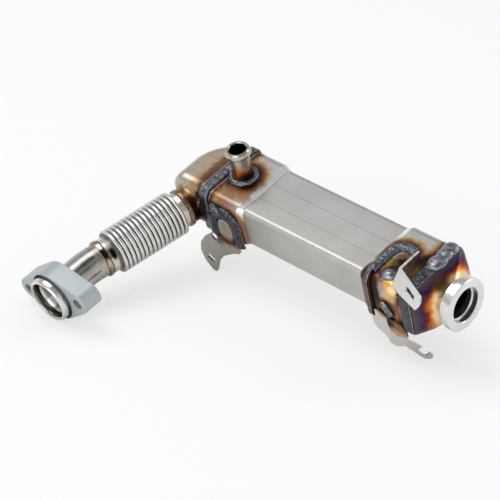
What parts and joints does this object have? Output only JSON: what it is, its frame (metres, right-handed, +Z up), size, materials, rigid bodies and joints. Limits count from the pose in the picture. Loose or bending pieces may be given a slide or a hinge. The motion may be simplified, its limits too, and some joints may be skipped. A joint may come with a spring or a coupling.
{
  "type": "egr cooler",
  "caption": "Exhaust gas recirculation cooler: a brushed steel box with end tanks, coolant spigots, welded brackets, a clamp flange and a bellows outlet with a loose flange.",
  "frame": {"origin": "bottom centre of the part as it lies on a floor on its flange and two brackets", "axes": "+X along the core towards the clamp flange, the bellows branch points to -Y, +Z up"},
  "size_m": [0.3646, 0.2396, 0.1353],
  "materials": {
    "sheet_steel": "satin",
    "drawn_steel": "satin",
    "tube_steel": "satin",
    "hose_steel": "bright",
    "core_steel": "satin",
    "fin_steel": "satin",
    "weld": "rough",
    "bracket_steel": "satin",
    "machined_steel": "machined",
    "plated_steel": "zinc plated, matt"
  },
  "bodies": {
    "cooler": {"bellows": "hose_steel", "clamp_flange": "machined_steel", "clip_arch_weld": "weld", "clip_bracket": "bracket_steel", "clip_foot_weld": "weld", "coolant_spigot_bottom": "tube_steel", "coolant_spigot_top": "tube_steel", "coolant_tank_left": "sheet_steel", "coolant_tank_right": "sheet_steel", "core_casing": "sheet_steel", "edge_weld": "weld", "gas_cone_right": "drawn_steel", "gas_hood_left": "drawn_steel", "gas_tube_1": "core_steel", "gas_tube_2": "core_steel", "gas_tube_3": "core_steel", "gas_tube_4": "core_steel", "gas_tube_5": "core_steel", "header_plate_left": "core_steel", "header_plate_right": "core_steel", "left_bracket": "bracket_steel", "left_bracket_weld": "weld", "neck_weld": "weld", "outlet_pipe": "tube_steel", "pipe_weld": "weld", "right_bracket": "bracket_steel", "right_front_weld": "weld", "right_top_weld": "weld", "spigot_weld_bottom": "weld", "spigot_weld_top": "weld", "tube_fin_1": "fin_steel", "tube_fin_2": "fin_steel", "tube_fin_3": "fin_steel", "tube_fin_4": "fin_steel", "tube_fin_5": "fin_steel", "weld_seam_left": "weld", "weld_seam_right": "weld"},
    "flange": {"loose_flange": "plated_steel"}
  },
  "joints": [
    {"name": "flange_turn", "type": "hinge", "parent": "cooler", "child": "flange", "pos_m": [-0.13626, -0.10657, 0.02373], "axis": [-0.01, -0.9578, -0.2872], "continuous": true}
  ]
}
